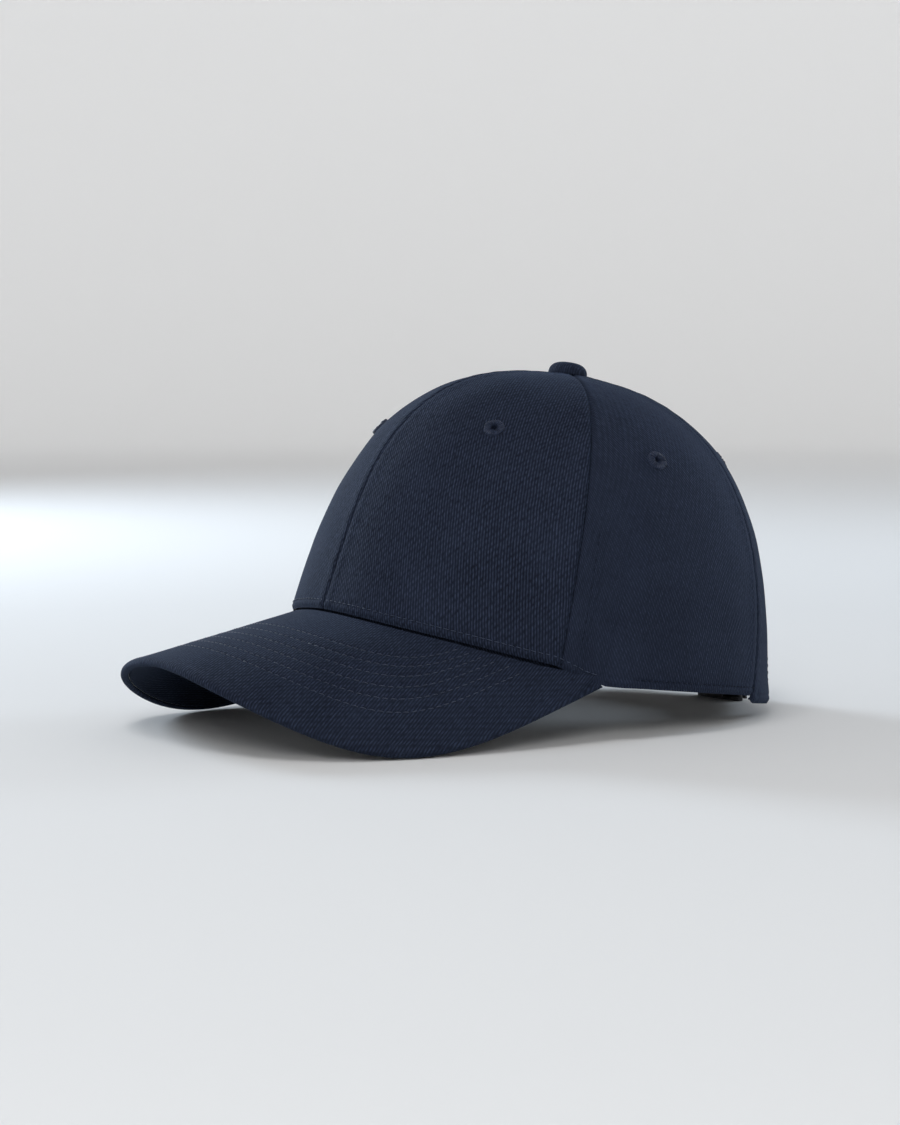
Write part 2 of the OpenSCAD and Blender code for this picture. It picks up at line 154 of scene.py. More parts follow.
def visorNormal(x, y):
    return unit(np.stack([visorZ(x - 1, y) - visorZ(x + 1, y),
                          visorZ(x, y - 1) - visorZ(x, y + 1),
                          np.full_like(x, 2.0)], -1))


def onVisor(x, y, up=0.0):
    return np.stack([x, y, visorZ(x, y)], -1) + np.asarray(up)[..., None] * visorNormal(x, y)


def climb(th, top, isUnder):
    # halves the wall again and again down to the place where isUnder(t) ends
    low, high = np.full_like(th, -0.05), np.full_like(th, top)
    for _ in range(22):
        t = (low + high) / 2
        under = isUnder(t)
        low, high = np.where(under, t, low), np.where(under, high, t)
    return (low + high) / 2


def shareOverVisor(th, up):
    def isUnder(t):
        x, y, z = np.moveaxis(crownPoint(th, t), -1, 0)
        return z < visorZ(x, y) + up / visorNormal(x, y)[..., 2]
    return climb(th, 0.3, isUnder)


def hemShare(th, up, hold=0.0, run=0.6):
    a = np.abs(np.asarray(th, float))
    end = visor["endAngle"]
    over = shareOverVisor(np.minimum(a, end), up)
    down = np.clip((end + hold + run - a) / run, 0, 1)
    down = down * down * (3 - 2 * down)
    return np.where(a <= end, over, np.maximum(over, 0) * down)


def hemUp(th):
    # the hem stands clear of the visor in front and comes down on it at the sides
    return visor["halfThick"] + 1.15 - 2.45 * smooth(np.abs(th), 63, 75)


def frontSeamAt(t):
    return crown["frontSeam"][0] + (crown["frontSeam"][1] - crown["frontSeam"][0]) * t


def rearSeamAt(t):
    return crown["rearSeam"][0] + (crown["rearSeam"][1] - crown["rearSeam"][0]) * t


def archEdge(t):
    inside = np.clip(1 - (t / crown["openTop"]) ** 2, 0, 1)
    return 180 - crown["openAngle"] * np.sqrt(inside)


def shareAt(th, height):
    return climb(th, 0.9, lambda t: wallHeight(th, t) < height)


def smooth(x, a, b):
    q = np.clip((x - a) / (b - a), 0, 1)
    return q * q * (3 - 2 * q)


def bell(x, middle, width):
    return np.exp(-(((x - middle) / width) ** 2))


def ripple(a, b, size, turn=0.0):
    # smooth unevenness from a few crossing waves, the same each run
    total = 0.0
    for k, (p, q, f) in enumerate(((1.0, 0.3, 1.0), (-0.4, 1.1, 1.37), (0.8, -0.9, 2.1), (0.2, 1.0, 3.3))):
        total = total + np.sin((p * a + q * b) * f / size * 2 * np.pi + turn + 1.7 * k) / (1 + k)
    return total / 2.1


class Finish:
    # short way to wire shader nodes
    def __init__(self, name):
        self.mat = bpy.data.materials.new(name)
        self.mat.use_nodes = True
        self.tree = self.mat.node_tree
        self.tree.nodes.clear()
        self.out = self.node("ShaderNodeOutputMaterial")
        self.bsdf = self.node("ShaderNodeBsdfPrincipled")
        self.join(self.bsdf.outputs[0], self.out.inputs[0])

    def node(self, kind, **settings):
        made = self.tree.nodes.new(kind)
        for key, value in settings.items():
            setattr(made, key, value)
        return made

    def join(self, a, b):
        self.tree.links.new(a, b)

    def place(self):
        return self.node("ShaderNodeTexCoord").outputs["Object"]

    def flatPlace(self):
        # the flat pattern's coordinates: both together, then across and up
        uv = self.node("ShaderNodeUVMap").outputs[0]
        parts = self.node("ShaderNodeSeparateXYZ")
        self.join(uv, parts.inputs[0])
        return uv, parts.outputs[0], parts.outputs[1]

    def put(self, value, socket):
        if hasattr(value, "links"):
            self.join(value, socket)
        else:
            socket.default_value = value

    def math(self, how, a, b=0.0, c=0.0):
        made = self.node("ShaderNodeMath", operation=how)
        for value, socket in zip((a, b, c), made.inputs):
            self.put(value, socket)
        return made.outputs[0]

    def noise(self, where, scale, detail=2.0, rough=0.5):
        made = self.node("ShaderNodeTexNoise")
        self.join(where, made.inputs["Vector"])
        made.inputs["Scale"].default_value = scale
        made.inputs["Detail"].default_value = detail
        made.inputs["Roughness"].default_value = rough
        return made.outputs["Fac"]

    def mix(self, fac, a, b):
        made = self.node("ShaderNodeMix", data_type="RGBA")
        self.put(fac, made.inputs[0])
        self.put(a, made.inputs[6])
        self.put(b, made.inputs[7])
        return made.outputs[2]

    def ramp(self, value, low, high):
        made = self.node("ShaderNodeMapRange")
        self.put(value, made.inputs[0])
        made.inputs[1].default_value = low
        made.inputs[2].default_value = high
        return made.outputs[0]

    def shine(self, **values):
        for key, value in values.items():
            self.bsdf.inputs[key].default_value = value

    def bump(self, height, distance, strength=1.0):
        made = self.node("ShaderNodeBump")
        made.inputs["Strength"].default_value = strength
        made.inputs["Distance"].default_value = distance
        self.put(height, made.inputs["Height"])
        self.join(made.outputs[0], self.bsdf.inputs["Normal"])


twill = {
    "wale": 0.00105,      # spacing of the diagonal ribs, metres
    "float": 0.0024,      # length of one thread's float along a rib
    "relief": 0.00026,
    # painted shade and painted highlight of the ribs: the colour of a rib's hollow and of its lit crest
    "deep": (0.0019, 0.0028, 0.0062, 1),
    "lit": (0.0295, 0.0395, 0.0705, 1),
    "sheen": 0.07,
    "sheenTint": (0.36, 0.56, 1.0, 1),
}


def twillFinish(name, angle, dim=1.0, wale=1.0, lint=0.5, crisp=1.0):
    # ribbed cotton: ribs run at an angle to the piece's own width, from its UV in metres
    f = Finish(name)
    uv, u, v = f.flatPlace()
    where = f.place()
    c, s = math.cos(math.radians(angle)), math.sin(math.radians(angle))
    wander = f.math("MULTIPLY", f.noise(uv, 140.0, 2.0), 0.0006)
    along = f.math("ADD", f.math("MULTIPLY", u, -s), f.math("MULTIPLY", v, c))
    cross = f.math("ADD", f.math("ADD", f.math("MULTIPLY", u, c), f.math("MULTIPLY", v, s)), wander)
    turn = 2 * math.pi / (twill["wale"] * wale)
    rib = f.math("MULTIPLY_ADD", f.math("SINE", f.math("MULTIPLY", cross, turn)), 0.5, 0.5)
    step = f.math("MULTIPLY", along, 2 * math.pi / (twill["float"] * wale))
    bead = f.math("SINE", f.math("ADD", step, f.math("MULTIPLY", cross, turn * -0.36)))
    bead = f.math("MULTIPLY_ADD", bead, 0.5, 0.5)
    laid = f.node("ShaderNodeCombineXYZ")
    f.join(f.math("MULTIPLY", cross, 1 / (twill["wale"] * wale)), laid.inputs[0])
    f.join(f.math("MULTIPLY", along, 1 / (twill["float"] * wale)), laid.inputs[1])
    stroke = f.ramp(f.noise(laid.outputs[0], 1.15, 1.0), 0.3, 0.72)
    fuzz = f.noise(uv, 2600.0, 3.0, 0.7)
    worn = f.noise(where, 38.0, 4.0, 0.6)
    laidOver = f.math("ADD", f.math("MULTIPLY", bead, 0.34), f.math("MULTIPLY", stroke, 0.66))
    thread = f.math("MULTIPLY", rib, laidOver)
    tone = f.math("ADD", f.math("MULTIPLY", thread, 1.15 * crisp), f.math("MULTIPLY", fuzz, 0.3))
    tone = f.math("ADD", tone, f.math("MULTIPLY_ADD", worn, 0.45, 0.12 - 0.225 + 0.33 * (1 - crisp)))
    deep = tuple(x * dim for x in twill["deep"][:3]) + (1,)
    lit = tuple(x * dim for x in twill["lit"][:3]) + (1,)
    # painted light and shade: the rib and float pattern that drives the bump also sets the colour, crests in
    # the lit colour and hollows in the deep, shaded colour; fuzz, the broad noise and the lint specks are the
    # cloth's own uneven tone
    colour = f.mix(f.ramp(tone, 0.05, 1.25), deep, lit)
    speck = f.ramp(f.noise(where, 1500.0, 1.0), 0.79, 0.85)
    colour = f.mix(f.math("MULTIPLY", speck, lint), colour, (0.11, 0.14, 0.22, 1))
    f.join(colour, f.bsdf.inputs["Base Color"])
    f.join(f.math("MULTIPLY_ADD", fuzz, 0.18, 0.76), f.bsdf.inputs["Roughness"])
    f.shine(**{"Specular IOR Level": 0.06, "Sheen Weight": twill["sheen"], "Sheen Roughness": 0.42})
    f.bsdf.inputs["Sheen Tint"].default_value = twill["sheenTint"]
    f.bump(f.math("ADD", f.math("MULTIPLY", thread, 0.9), f.math("MULTIPLY", fuzz, 0.4)), twill["relief"])
    return f.mat


def threadFinish(name, deep, lit, gloss=0.35):
    # plied sewing thread: fine twisted ridges along each stitch
    f = Finish(name)
    uv, across, up = f.flatPlace()
    ply = f.math("ADD", f.math("MULTIPLY", across, 42.0), f.math("MULTIPLY", up, 12.566))
    ply = f.math("MULTIPLY_ADD", f.math("SINE", ply), 0.5, 0.5)
    where = f.place()
    uneven = f.noise(where, 700.0, 2.0)
    # painted light and shade: the twist ridges go from the deep, shaded colour in the grooves to the lit
    # colour on the crests, as in the bump; the noise varies it at random
    colour = f.mix(f.math("MULTIPLY_ADD", ply, 0.5, f.math("MULTIPLY", uneven, 0.5)), deep, lit)
    f.join(colour, f.bsdf.inputs["Base Color"])
    f.shine(**{"Roughness": 0.45, "Specular IOR Level": gloss})
    f.bump(ply, 0.00006)
    return f.mat


def tapeFinish(name, deep, lit, rib=0.0007):
    # plain woven tape or stiffening: warp and weft crossing square
    f = Finish(name)
    uv, across, up = f.flatPlace()
    warp = f.math("SINE", f.math("MULTIPLY", across, 2 * math.pi / rib))
    weft = f.math("SINE", f.math("MULTIPLY", up, 2 * math.pi / rib))
    net = f.math("MULTIPLY_ADD", f.math("MULTIPLY", warp, weft), 0.5, 0.5)
    fuzz = f.noise(uv, 2200.0, 3.0, 0.7)
    tone = f.math("ADD", f.math("MULTIPLY", net, 0.6), f.math("MULTIPLY", fuzz, 0.4))
    # painted light and shade: where warp and weft cross the tape takes the lit colour, between them the deep,
    # shaded colour, following the bump
    f.join(f.mix(tone, deep, lit), f.bsdf.inputs["Base Color"])
    f.join(f.math("MULTIPLY_ADD", fuzz, 0.15, 0.78), f.bsdf.inputs["Roughness"])
    f.shine(**{"Specular IOR Level": 0.2, "Sheen Weight": 0.15, "Sheen Roughness": 0.5})
    f.bump(tone, 0.00018)
    return f.mat


def metalFinish(name, colour, rough=0.34):
    # brushed metal with tarnish in patches
    f = Finish(name)
    where = f.place()
    stretch = f.node("ShaderNodeMapping")
    stretch.inputs["Scale"].default_value = (400.0, 400.0, 6000.0)
    f.join(where, stretch.inputs[0])
    brushed = f.noise(stretch.outputs[0], 1.0, 3.0)
    patch = f.noise(where, 260.0, 3.0)
    dark = tuple(x * 0.55 for x in colour[:3]) + (1,)
    f.join(f.mix(f.ramp(patch, 0.3, 0.75), dark, colour), f.bsdf.inputs["Base Color"])
    f.join(f.math("MULTIPLY_ADD", brushed, 0.25, rough - 0.1), f.bsdf.inputs["Roughness"])
    f.shine(**{"Metallic": 1.0})
    f.bump(brushed, 0.00004)
    return f.mat


def plainFinish(name, colour, rough=0.6):
    # matt moulded board with a fine grain
    f = Finish(name)
    where = f.place()
    grain = f.noise(where, 900.0, 3.0)
    dark = tuple(x * 0.85 for x in colour[:3]) + (1,)
    f.join(f.mix(grain, dark, colour), f.bsdf.inputs["Base Color"])
    f.shine(**{"Roughness": rough})
    f.bump(grain, 0.00005)
    return f.mat


finish = {
    "front": twillFinish("front_twill", 12, crisp=1.02),
    "side": twillFinish("side_twill", 30, crisp=0.48),
    "rear": twillFinish("rear_twill", 24, crisp=0.5),
    # painted shade: the top cloth of the visor is made a little darker than the crown's, as it faces the top
    # light more
    "visor": twillFinish("visor_twill", 27, dim=0.94, wale=1.08, crisp=0.86),
    # painted shade: the cloth under the visor is made darker still, for the shade beneath the visor
    "under": twillFinish("under_visor_twill", 27, dim=0.6, crisp=0.6),
    "button": twillFinish("button_twill", 30, wale=0.8, crisp=0.7),
    "strap": twillFinish("strap_twill", 60, lint=0.2, crisp=0.8),
    "sweat": twillFinish("sweatband_twill", 45, dim=0.75, wale=0.8, lint=0.2),
    "stitch": threadFinish("visor_thread", (0.011, 0.016, 0.032, 1), (0.045, 0.06, 0.105, 1)),
    "seamStitch": threadFinish("seam_thread", (0.003, 0.0045, 0.01, 1), (0.012, 0.017, 0.033, 1), 0.03),
    "hemStitch": threadFinish("hem_thread", (0.014, 0.02, 0.04, 1), (0.065, 0.085, 0.14, 1), 0.25),
    "eyelet": threadFinish("eyelet_thread", (0.002, 0.003, 0.008, 1), (0.034, 0.048, 0.092, 1), 0.25),
    "tape": tapeFinish("seam_tape_weave", (0.004, 0.006, 0.013, 1), (0.016, 0.022, 0.042, 1)),
    "buckram": tapeFinish("buckram_weave", (0.28, 0.28, 0.26, 1), (0.72, 0.72, 0.68, 1), rib=0.0016),
    "clasp": metalFinish("clasp_metal", (0.11, 0.11, 0.115, 1)),
    "buttonMetal": metalFinish("button_metal", (0.5, 0.5, 0.5, 1)),
    "board": plainFinish("visor_board", (0.8, 0.8, 0.77, 1)),
}
print("materials made:", len(finish))


def newPiece(name, verts, faces, uvs, mat, sharp=50):
    mesh = bpy.data.meshes.new(name)
    verts = (np.asarray(verts).reshape(-1, 3) + place) * 0.001
    mesh.from_pydata(verts.tolist(), [], faces)
    layer = mesh.uv_layers.new(name="UVMap")
    index = np.empty(len(mesh.loops), dtype=np.int32)
    mesh.loops.foreach_get("vertex_index", index)
    layer.data.foreach_set("uv", np.asarray(uvs, dtype=np.float32).reshape(-1, 2)[index].ravel())
    mesh.polygons.foreach_set("use_smooth", np.ones(len(mesh.polygons), dtype=bool))
    mesh.set_sharp_from_angle(angle=math.radians(sharp))
    mesh.materials.append(mat)
    mesh.update()
    piece = bpy.data.objects.new(name, mesh)
    bpy.context.scene.collection.objects.link(piece)
    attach(piece, "cap")
    return piece


def standIn(piece, node):
    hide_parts(node)


def gridUV(points):
    # flat pattern coordinates in metres: length across from the middle column, and length up
    du = np.linalg.norm(np.diff(points, axis=0), axis=-1)
    dv = np.linalg.norm(np.diff(points, axis=1), axis=-1)
    u = np.concatenate([np.zeros((1, points.shape[1])), np.cumsum(du, 0)], 0)
    u -= u[len(u) // 2]
    v = np.concatenate([np.zeros((points.shape[0], 1)), np.cumsum(dv, 1)], 1)
    return np.stack([u, v], -1) * 0.001


def clothSheet(name, outer, inner, mat, mirror=False, hole=None, uv=None):
    # closed sheet between two grids; hole = (centre, normal, radius) is cut right through it
    rows, cols = outer.shape[:2]
    uv = gridUV(outer) if uv is None else uv
    outer, inner, uv = outer.copy(), inner.copy(), uv.copy()
    count = rows * cols
    gone = set()
    if hole is not None:
        centre, axis, radius = hole
        for grid in (outer, inner):
            mid = (grid[:-1, :-1] + grid[1:, 1:] + grid[1:, :-1] + grid[:-1, 1:]) / 4 - centre
            flat = mid - (mid @ axis)[..., None] * axis
            if grid is outer:
                gone = set(zip(*np.nonzero(np.linalg.norm(flat, axis=-1) < radius * 1.15)))
        rim = set()
        for i, j in gone:
            rim |= {(i, j), (i + 1, j), (i, j + 1), (i + 1, j + 1)}
        for i, j in rim:
            for grid in (outer, inner):
                off = grid[i, j] - centre
                rise = off @ axis
                side = off - rise * axis
                reach = np.linalg.norm(side)
                if reach > 1e-6:
                    grid[i, j] = centre + rise * axis + side / reach * radius
    faces = []
    for i in range(rows - 1):
        for j in range(cols - 1):
            if (i, j) in gone:
                continue
            k = i * cols + j
            faces.append((k, k + cols, k + cols + 1, k + 1))
            faces.append((count + k, count + k + 1, count + k + cols + 1, count + k + cols))
    for i in range(rows - 1):
        k, e = i * cols, i * cols + cols - 1
        faces.append((k, count + k, count + k + cols, k + cols))
        faces.append((e, e + cols, count + e + cols, count + e))
    for j in range(cols - 1):
        k, e = j, (rows - 1) * cols + j
        faces.append((k, k + 1, count + k + 1, count + k))
        faces.append((e, count + e, count + e + 1, e + 1))
    for i, j in gone:
        k = i * cols + j
        for side, a, b in (((i - 1, j), k, k + 1), ((i + 1, j), k + cols + 1, k + cols),
                           ((i, j - 1), k + cols, k), ((i, j + 1), k + 1, k + cols + 1)):
            if side not in gone:
                faces.append((a, b, count + b, count + a))
    verts = np.concatenate([outer.reshape(-1, 3), inner.reshape(-1, 3)])
    both = np.concatenate([uv.reshape(-1, 2), uv.reshape(-1, 2)])
    if mirror:
        verts = verts * [-1, 1, 1]
        both = both * [-1, 1]
        faces = [face[::-1] for face in faces]
    return newPiece(name, verts, faces, both, mat)


def ringFaces(first, rings, sides, closed=False):
    # faces of a tube of rings, either joined end to end or with both ends filled
    faces = []
    for r in range(rings if closed else rings - 1):
        here, there = first + r * sides, first + (r + 1) % rings * sides
        for s in range(sides):
            beside = (s + 1) % sides
            faces.append((here + s, here + beside, there + beside, there + s))
    if not closed:
        last = first + (rings - 1) * sides
        faces += [tuple(range(first, first + sides))[::-1], tuple(range(last, last + sides))]
    return faces


def stitches(name, runs, mat, pitch=3.0, length=2.3, radius=0.2, proud=0.08, dip=0.35):
    # sewn thread as separate short bent tubes along each run of (points, normals)
    rings, sides = 5, 6
    verts, faces, uvs = [], [], []
    jitter = np.random.default_rng(len(name) * 7 + len(runs))
    base = 0
    for points, normals in runs:
        steps = np.linalg.norm(np.diff(points, axis=0), axis=1)
        far = np.concatenate([[0], np.cumsum(steps)])
        amount = int(far[-1] // pitch)
        if amount < 1:
            continue
        gap = far[-1] / amount
        mid = (np.arange(amount) + 0.5) * gap
        q = np.linspace(-1, 1, rings)
        span = length * (1 + jitter.uniform(-0.06, 0.06, (amount, 1)))
        at = mid[:, None] + q[None] * span / 2
        centre = np.stack([np.interp(at, far, points[:, a]) for a in range(3)], -1)
        normal = unit(np.stack([np.interp(at, far, normals[:, a]) for a in range(3)], -1))
        tangent = unit(np.gradient(centre, axis=1))
        side = unit(np.cross(tangent, normal))
        lean = jitter.uniform(-0.12, 0.12, (amount, 1, 1)) * side * q[None, :, None]
        arch = proud - dip * np.abs(q) ** 3
        centre = centre + arch[None, :, None] * normal + lean
        fat = radius * np.array([0.45, 0.92, 1.0, 0.92, 0.45])
        turn = np.arange(sides) / sides * 2 * np.pi
        ring = (centre[:, :, None] + fat[None, :, None, None]
                * (np.cos(turn)[None, None, :, None] * normal[:, :, None]
                   + np.sin(turn)[None, None, :, None] * side[:, :, None]))
        verts.append(ring.reshape(-1, 3))
        strip = np.stack(np.broadcast_arrays((q[None, :, None] + 1) / 2 + 0 * mid[:, None, None],
                                             (turn / 2 / np.pi)[None, None, :]), -1)
        uvs.append(strip.reshape(-1, 2))
        for n in range(amount):
            faces += ringFaces(base + n * rings * sides, rings, sides)
        base += amount * rings * sides
    return newPiece(name, np.concatenate(verts), faces, np.concatenate(uvs), mat, 80)


def mirrorRuns(runs):
    flip = np.array([-1, 1, 1])
    return [(p * flip, n * flip) for p, n in runs]


def crownRun(th, t, depth=0.0):
    return onCrown(th, t, depth), crownNormal(th, t)


# the cloth panels of the crown
panel = {
    "edgeSteps": (0.1, 0.32, 0.6, 0.95, 1.4, 2.0, 2.9, 3.9, 4.7, 5.2, 5.7, 6.4, 7.6),
    "middle": 26,
    "rows": 96,
    "hemSteps": (0.0, 0.25, 0.6, 1.1, 1.8, 2.7, 3.2, 3.7, 4.6),
    "valley": 0.75,       # depth of the seam line
    "allowance": 0.34,    # the folded cloth beside a seam
    "topstitch": 5.3,     # distance of the topstitching from a seam
    "hemStitch": 3.3,
    "apexHole": 2.4,
}
# heights of the dents and swells in the panels, and how far the deepest is from its seam
fold = {"wave": 0.28, "away": 11.5, "dent": 2.7, "swell": 0.9, "crease": 0.3, "rearDent": 0.28,
        "rearSwell": 0.5}
eyelets = {"front": (38.4, 0.553), "frontRight": (31.5, 0.553), "side": (86.5, 0.389), "rear": (152.0, 0.54)}
eyeletShape = {"hole": 1.2, "out": 3.85, "shank": 2.45, "deep": -2.3, "lip": 0.2, "strands": 28,
               "height": 0.66, "strand": 0.48, "swell": 0.6}


def eyeletPlace(kind, right):
    return eyelets["frontRight" if right and kind == "front" else kind]


def panelEdges(kind, t):
    if kind == "front":
        return 0 * t, frontSeamAt(t)
    if kind == "side":
        return frontSeamAt(t), rearSeamAt(t)
    return rearSeamAt(t), archEdge(t)


def localRadius(th, t):
    return wallRadius(th, t) * baseRadius(th)


def panelGrid(kind):
    # dense curves up the wall for each column, then rows at even lengths along them
    edge = np.array(panel["edgeSteps"])
    middle = panel["middle"]
    cols = 2 * len(edge) + middle - 1
    dense = 260
    way = np.linspace(0, 1, dense)
    if kind == "rear":
        turn = np.clip(way / 0.42, 0, 1) * np.pi / 2
        base = np.where(way < 0.42, crown["openTop"] * np.sin(turn),
                        crown["openTop"] + (1 - crown["openTop"]) * (way - 0.42) / 0.58)
    else:
        base = way
    grid = np.zeros((cols, dense, 2))
    for i in range(cols):
        t = base.copy()
        for _ in range(3):
            start, stop = panelEdges(kind, np.clip(t, 0, 1))
            width = np.radians(stop - start) * localRadius((start + stop) / 2, np.minimum(t, 0.995))
            shrink = np.minimum(1, 0.5 * width / (edge[-1] + 4))
            if i < len(edge):
                part = edge[i] * shrink / width
            elif i >= cols - len(edge):
                part = 1 - edge[cols - 1 - i] * shrink / width
            else:
                a = edge[-1] * shrink / width
                part = a + (1 - 2 * a) * (i - len(edge) + 1) / middle
            th = start + (stop - start) * part
            hem = -0.01 * smooth(th, 121, 126) if kind == "rear" else hemShare(th, hemUp(th))
            t = hem + (roundTop(th, panel["apexHole"]) - hem) * base
        grid[i, :, 0], grid[i, :, 1] = th, t
    points = crownPoint(grid[..., 0], grid[..., 1])
    steps = np.linalg.norm(np.diff(points, axis=1), axis=-1)
    far = np.concatenate([np.zeros((cols, 1)), np.cumsum(steps, 1)], 1)
    hems = np.array(panel["hemSteps"])
    rows = len(hems) + panel["rows"]
    th, t, up, fromStart, fromStop = (np.zeros((cols, rows)) for _ in range(5))
    for i in range(cols):
        total = far[i, -1]
        above = (total - hems[-1]) * (np.arange(panel["rows"]) + 1) / panel["rows"]
        want = np.concatenate([hems, hems[-1] + above])
        where = np.interp(want, far[i], way)
        th[i] = np.interp(where, way, grid[i, :, 0])
        t[i] = np.interp(where, way, grid[i, :, 1])
        up[i] = want
        start, stop = panelEdges(kind, np.interp(where, way, base))
        radius = localRadius(th[i], t[i])
        fromStart[i] = np.radians(th[i] - start) * radius
        fromStop[i] = np.radians(stop - th[i]) * radius
    return th, t, up, fromStart, fromStop


def seamRelief(d, seed, up, deep=1.0):
    pucker = 1 + 0.35 * ripple(up, up * 0, 9.0, seed)
    ridge = panel["allowance"] * smooth(d, 0.4, 1.7) * (1 - smooth(d, 5.0, 7.2)) * pucker
    line = -panel["valley"] * deep * bell(d, 0, 0.5)
    sewn = -0.2 * bell(d, panel["topstitch"], 0.55)
    return ridge + line + sewn


def hemRelief(up):
    return -0.9 * bell(up, 0, 1.1) + 0.12 * bell(up, 1.6, 1.0) - 0.2 * bell(up, panel["hemStitch"], 0.5)


def archDistance(points):
    # distance to the edge of the rear opening, along the left half of the cap
    a = np.radians(np.linspace(0, 90, 240))
    line = crownPoint(180 - crown["openAngle"] * np.cos(a), crown["openTop"] * np.sin(a))
    flat = points.reshape(-1, 3)
    near = np.full(len(flat), 1e9)
    for k in range(0, len(flat), 4000):
        gap = np.linalg.norm(flat[k:k + 4000, None] - line[None], axis=-1)
        near[k:k + 4000] = gap.min(1)
    return near.reshape(points.shape[:-1])


def foldRelief(kind, th, up, fromStart, fromStop, right):
    # the soft dents and swells that cloth keeps, a little different on the two sides
    wave = fold["wave"] * ripple(th * 1.3, up, 62.0, 2.0 if right else 0.4) * smooth(up, 6, 30)
    wave = wave * smooth(np.minimum(fromStart, fromStop), 1, 12) * (1 - smooth(up, 95, 130))
    if kind == "side":
        lower = 1 - smooth(up, 34, 92)
        bent = fold["away"] + 0.03 * up
        wave = wave - fold["dent"] * bell(fromStart, bent, 4.2) * lower
        wave = wave + fold["swell"] * bell(fromStart, bent + 9.5, 5.0) * lower
        wave = wave - fold["crease"] * bell(fromStart, bent + 17 - 0.1 * up, 3.2) * (1 - smooth(up, 8, 45))
        wave = wave - fold["rearDent"] * bell(fromStop, 13 - 0.12 * up, 3.0) * (1 - smooth(up, 6, 30))
    if kind == "rear":
        wave = wave + fold["rearSwell"] * (1 - smooth(up, 3, 11)) * smooth(fromStart, 4, 9)
    return wave


def panelSurface(kind, right):
    th, t, up, fromStart, fromStop = panelGrid(kind)
    relief = hemRelief(up) + seamRelief(fromStart, 1.0, up, 0.45 if kind == "front" else 1.0)
    points = crownPoint(th, t)
    if kind == "rear":
        arch = archDistance(points)
        over = t > crown["openTop"]
        toSeam = np.where(over, fromStop, np.minimum(arch, 99) + 20)
        relief = relief + seamRelief(toSeam, 2.0, up) * np.where(over, smooth(arch, 0.5, 4), 0)
        relief = relief - 0.3 * bell(arch, 0, 0.6) - 0.16 * bell(arch, 4.6, 0.6) + 0.15 * bell(arch, 2.3, 1.5)
    else:
        relief = relief + seamRelief(fromStop, 2.0, up)
    relief = relief + foldRelief(kind, th, up, fromStart, fromStop, right)
    spot = np.linalg.norm(points - crownPoint(*eyeletPlace(kind, right)), axis=-1)
    relief = relief + eyeletShape["swell"] * bell(spot, 0, 6.5)
    normal = crownNormal(th, t)
    return points, points + relief[..., None] * normal, normal


def makePanel(kind, right):
    side = "right" if right else "left"
    points, outer, normal = panelSurface(kind, right)
    inner = points - crown["thick"] * normal
    a, b = eyeletPlace(kind, right)
    centre = crownPoint(a, b)
    axis = crownNormal(a, b)
    piece = clothSheet(f"{kind}_panel_{side}", outer, inner, finish[kind], right, (centre, axis, 2.3))
    standIn(piece, f"panel_{kind}_{side}")
    return piece


for kind in ("front", "side", "rear"):
    for right in (False, True):
        made = makePanel(kind, right)
        print("panel", made.name, len(made.data.vertices))

# the two cloths of the visor and their rows of stitching
visorCloth = {
    "columns": 200,
    "rows": 150,
    "stitchRows": 6,
    "firstRow": (72.8, 100.0),   # half width and reach of the outermost row
    "rowStep": (2.78, 6.25),
    "rowBack": 45.1,
    "rowSquare": (1.79, 4.67),
    "groove": 0.24,
    "pitch": 3.1,
    "stitch": 2.5,
    "thread": 0.17,
}
# cross sections of the edge: distance in from the edge, and height
topRoll = ((4.5, 1.6), (3.6, 1.66), (2.7, 1.68), (1.9, 1.6), (1.2, 1.4), (0.65, 1.08), (0.25, 0.6),
           (0.03, 0.1), (0.03, -0.45), (0.25, -0.95), (0.7, -1.38), (1.3, -1.64), (1.9, -1.7),
           (2.4, -1.58), (2.6, -1.2))
topLining = ((4.5, 1.0), (3.6, 1.0), (2.7, 1.0), (2.1, 0.98), (1.6, 0.85), (1.2, 0.62), (0.9, 0.35),
             (0.75, 0.05), (0.75, -0.2), (0.85, -0.5), (1.05, -0.75), (1.4, -0.98), (1.9, -1.05),
             (2.4, -1.05), (2.6, -1.0))
underRoll = ((4.5, -1.6), (3.9, -1.62), (3.4, -1.6), (3.0, -1.5), (2.75, -1.15))
underLining = ((4.5, -1.0), (3.9, -1.0), (3.4, -1.0), (3.0, -1.0), (2.75, -0.98))


def power(v, e):
    return np.sign(v) * np.abs(v) ** e


def visorEdge(s):
    c, n = np.cos(np.radians(s)), np.sin(np.radians(s))
    return np.stack([visor["halfWidth"] * power(n, 2 / visor["square"][0]),
                     -visor["end"] - visor["reach"] * power(np.maximum(c, 0), 2 / visor["square"][1])], -1)


def visorInner(s):
    th = visor["endAngle"] * s / 90
    return onCrown(th, hemShare(th, 0.0), -visor["rootDepth"] + 0 * th)[..., :2]


def rowShape(k):
    # half width and reach of one row of stitching, and how square its curve is
    size = [first - step * k for first, step in zip(visorCloth["firstRow"], visorCloth["rowStep"])]
    return size + list(visorCloth["rowSquare"])


def rowOffset(x, y, k):
    wide, far, p, q = rowShape(k)
    ax, ay = np.abs(x) / wide + 1e-6, np.maximum(1e-6, -(y + visorCloth["rowBack"])) / far
    slope = np.hypot(p * ax ** (p - 1) / wide, q * ay ** (q - 1) / far)
    return (ax**p + ay**q - 1) / np.maximum(slope, 1e-4)


def visorUV(x, y):
    side = np.linspace(0, 95, 300)
    rise = visorZ(side, -100.0)
    arc = np.concatenate([[0], np.cumsum(np.hypot(np.diff(side), np.diff(rise)))])
    return np.stack([np.sign(x) * np.interp(np.abs(x), side, arc), y * 1.02], -1) * 0.001


